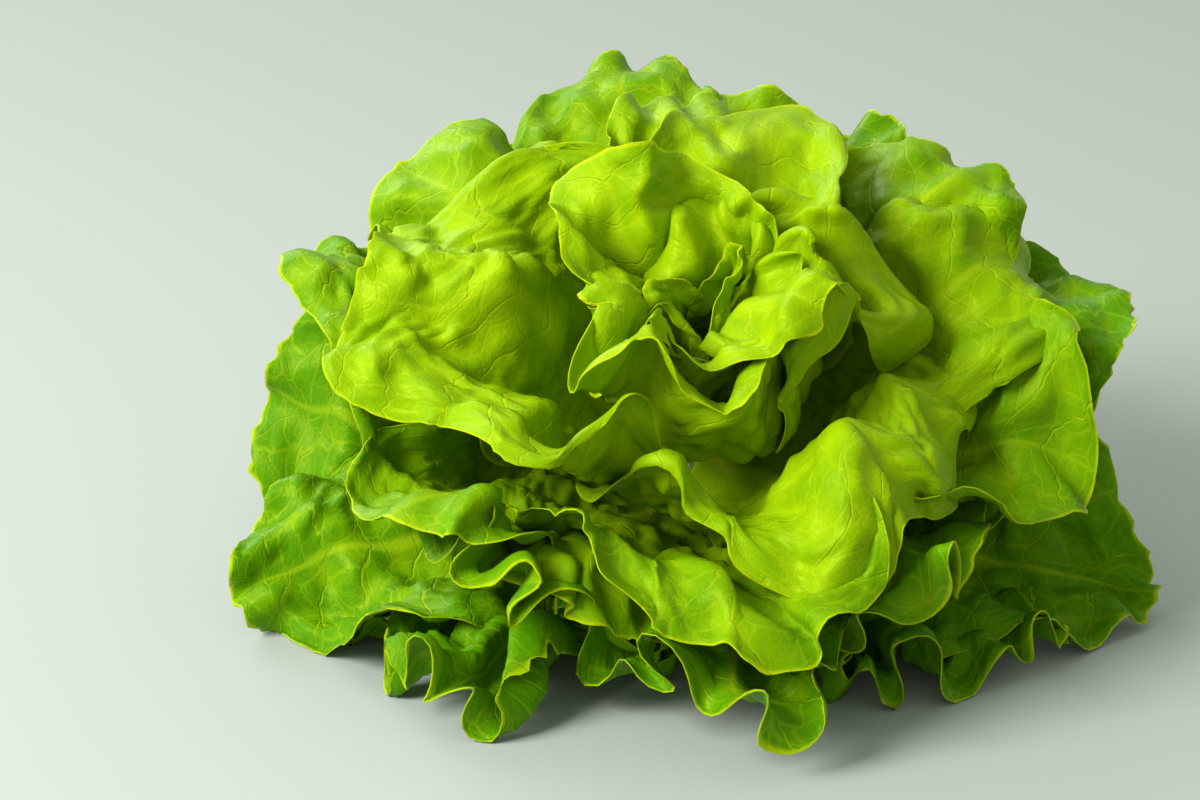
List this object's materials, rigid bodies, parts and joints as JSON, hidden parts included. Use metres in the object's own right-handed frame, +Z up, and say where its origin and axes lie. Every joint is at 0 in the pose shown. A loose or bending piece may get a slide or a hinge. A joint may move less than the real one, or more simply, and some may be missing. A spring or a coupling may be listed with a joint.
{
  "type": "butterhead lettuce",
  "caption": "Loose, open head of butterhead lettuce: soft round leaves wrapped round a small heart, ruffled outer leaves spread on the surface, short cut stem.",
  "frame": {"origin": "on the level surface the head rests on, under the middle of its box", "axes": "+Z up from the surface; the open heart leans towards -Y, which faces the viewer; +X is to the viewer's right"},
  "size_m": [0.2784, 0.2565, 0.1481],
  "materials": {
    "stem": "pale, moist cut stem",
    "heart_leaf": "soft satin, pale yellow-green",
    "inner_leaf": "soft satin, bright yellow-green",
    "middle_leaf": "soft satin, fresh green",
    "outer_leaf": "soft satin, deeper green"
  },
  "bodies": {
    "root": {"stem": "stem", "heart_leaf_1": "heart_leaf", "heart_leaf_2": "heart_leaf", "heart_leaf_3": "heart_leaf", "heart_leaf_4": "heart_leaf", "heart_leaf_5": "heart_leaf", "inner_leaf_1": "inner_leaf", "inner_leaf_2": "inner_leaf", "inner_leaf_3": "inner_leaf", "inner_leaf_4": "inner_leaf", "inner_leaf_5": "inner_leaf", "inner_leaf_6": "inner_leaf", "inner_leaf_7": "inner_leaf", "middle_leaf_1": "middle_leaf", "middle_leaf_2": "middle_leaf", "middle_leaf_3": "middle_leaf", "middle_leaf_4": "middle_leaf", "middle_leaf_5": "middle_leaf", "middle_leaf_6": "middle_leaf", "middle_leaf_7": "middle_leaf", "middle_leaf_8": "middle_leaf", "middle_leaf_9": "middle_leaf", "middle_leaf_10": "middle_leaf", "middle_leaf_11": "middle_leaf", "middle_leaf_12": "middle_leaf", "middle_leaf_13": "middle_leaf", "outer_leaf_1": "outer_leaf", "outer_leaf_2": "outer_leaf", "outer_leaf_3": "outer_leaf", "outer_leaf_4": "outer_leaf", "outer_leaf_5": "outer_leaf", "outer_leaf_6": "outer_leaf", "outer_leaf_7": "outer_leaf", "outer_leaf_8": "outer_leaf", "outer_leaf_9": "outer_leaf", "outer_leaf_10": "outer_leaf", "outer_leaf_11": "outer_leaf", "outer_leaf_12": "outer_leaf", "outer_leaf_13": "outer_leaf", "outer_leaf_14": "outer_leaf"}
  },
  "joints": []
}
